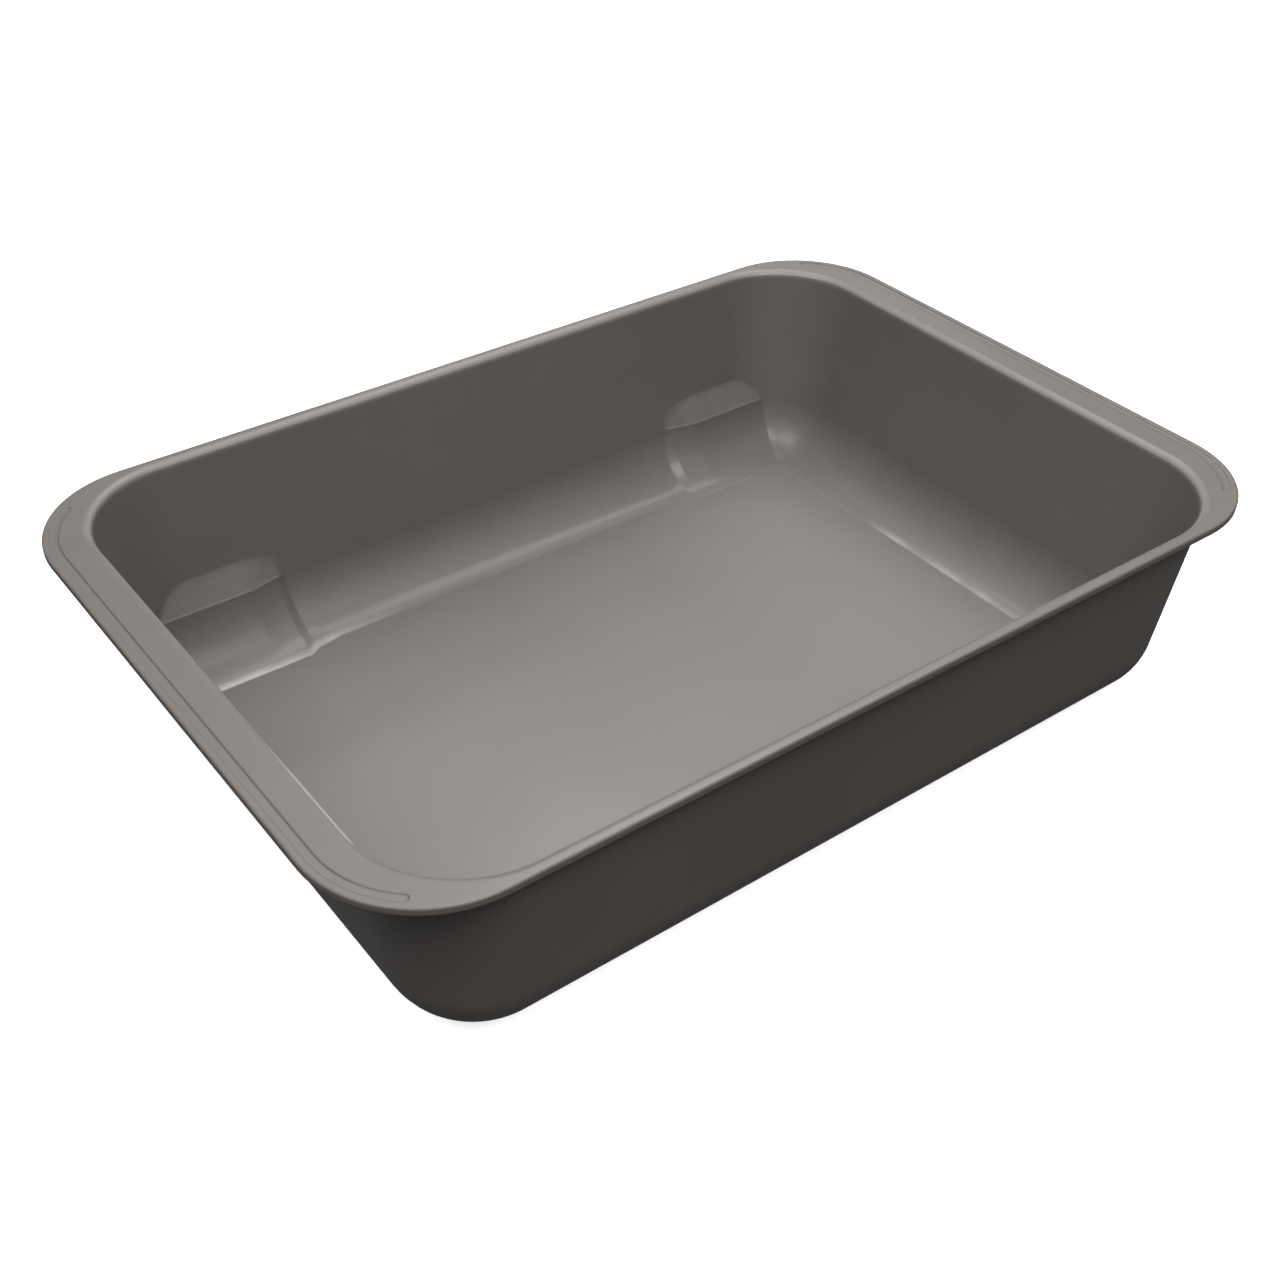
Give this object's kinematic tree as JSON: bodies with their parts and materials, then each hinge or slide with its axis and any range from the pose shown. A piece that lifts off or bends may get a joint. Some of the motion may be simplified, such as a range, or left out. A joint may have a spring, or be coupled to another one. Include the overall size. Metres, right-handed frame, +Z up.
{
  "type": "paint roller tray",
  "caption": "Deep rectangular paint tray with flared walls, a flat turned-down rim and a flat floor, for dipping a paint roller.",
  "frame": {"origin": "middle of the flat panel that the tray stands on", "axes": "+Z up, X along the long side of the rim, Y across it"},
  "size_m": [0.402, 0.277, 0.09],
  "materials": {
    "tray_plastic": "satin to semi-gloss moulded polypropylene, warm grey, finely textured"
  },
  "bodies": {
    "root": {"tray": "tray_plastic"}
  },
  "joints": []
}
